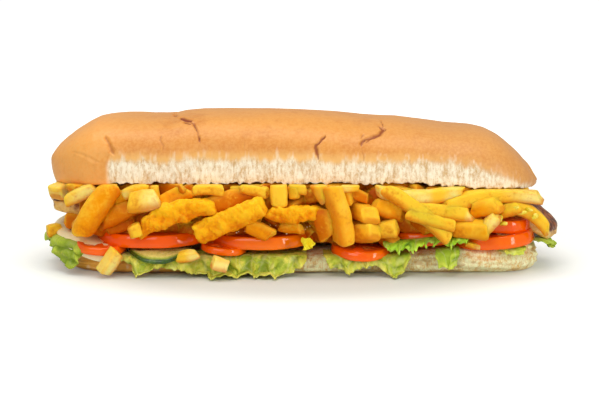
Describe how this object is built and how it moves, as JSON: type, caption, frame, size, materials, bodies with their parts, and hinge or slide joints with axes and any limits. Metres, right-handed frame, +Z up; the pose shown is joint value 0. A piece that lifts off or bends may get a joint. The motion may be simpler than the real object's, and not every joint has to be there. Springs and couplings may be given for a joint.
{
  "type": "gatsby sandwich",
  "caption": "Long filled roll: split soft white loaf packed with lettuce, cucumber, tomato, battered strips, seared fillets and a heap of chips, eaten by hand.",
  "frame": {"origin": "middle of the flat foot of the lower half of the loaf", "axes": "+X along the loaf, +Z up, the side shown in the picture faces -Y"},
  "size_m": [0.3198, 0.1254, 0.096],
  "materials": {
    "crust": "soft browned crust, torn white crumb below it",
    "bread": "soft white crumb over a pale brown crust",
    "lettuce": "thin moist leaf",
    "tomato": "wet cut tomato",
    "cucumber": "wet pale green flesh with a dark green rind",
    "slice": "soft pale slice",
    "seared": "seared brown top with charred edges, paler flaky sides",
    "batter": "rough golden batter",
    "chips": "soft fried potato, golden with paler cut ends"
  },
  "bodies": {
    "root": {"bottom_half": "bread", "top_half": "crust", "lettuce_front_left": "lettuce", "lettuce_front_middle": "lettuce", "lettuce_curl": "lettuce", "lettuce_hanging": "lettuce", "lettuce_right": "lettuce", "lettuce_right_end": "lettuce", "lettuce_left_end": "lettuce", "lettuce_back_left": "lettuce", "lettuce_back_right": "lettuce", "pale_slice": "slice", "lettuce_frill": "lettuce", "tomato_1": "tomato", "tomato_2": "tomato", "tomato_3": "tomato", "tomato_4": "tomato", "tomato_5": "tomato", "tomato_6": "tomato", "tomato_7": "tomato", "tomato_8": "tomato", "tomato_9": "tomato", "tomato_10": "tomato", "tomato_11": "tomato", "cucumber_1": "cucumber", "cucumber_2": "cucumber", "seared_fillet_right": "seared", "seared_fillet_left": "seared", "battered_strip_1": "batter", "battered_strip_2": "batter", "battered_strip_3": "batter", "loose_chip_1": "chips", "loose_chip_2": "chips", "loose_chip_3": "chips", "loose_chip_4": "chips", "loose_chip_5": "chips", "chips": "chips"}
  },
  "joints": []
}
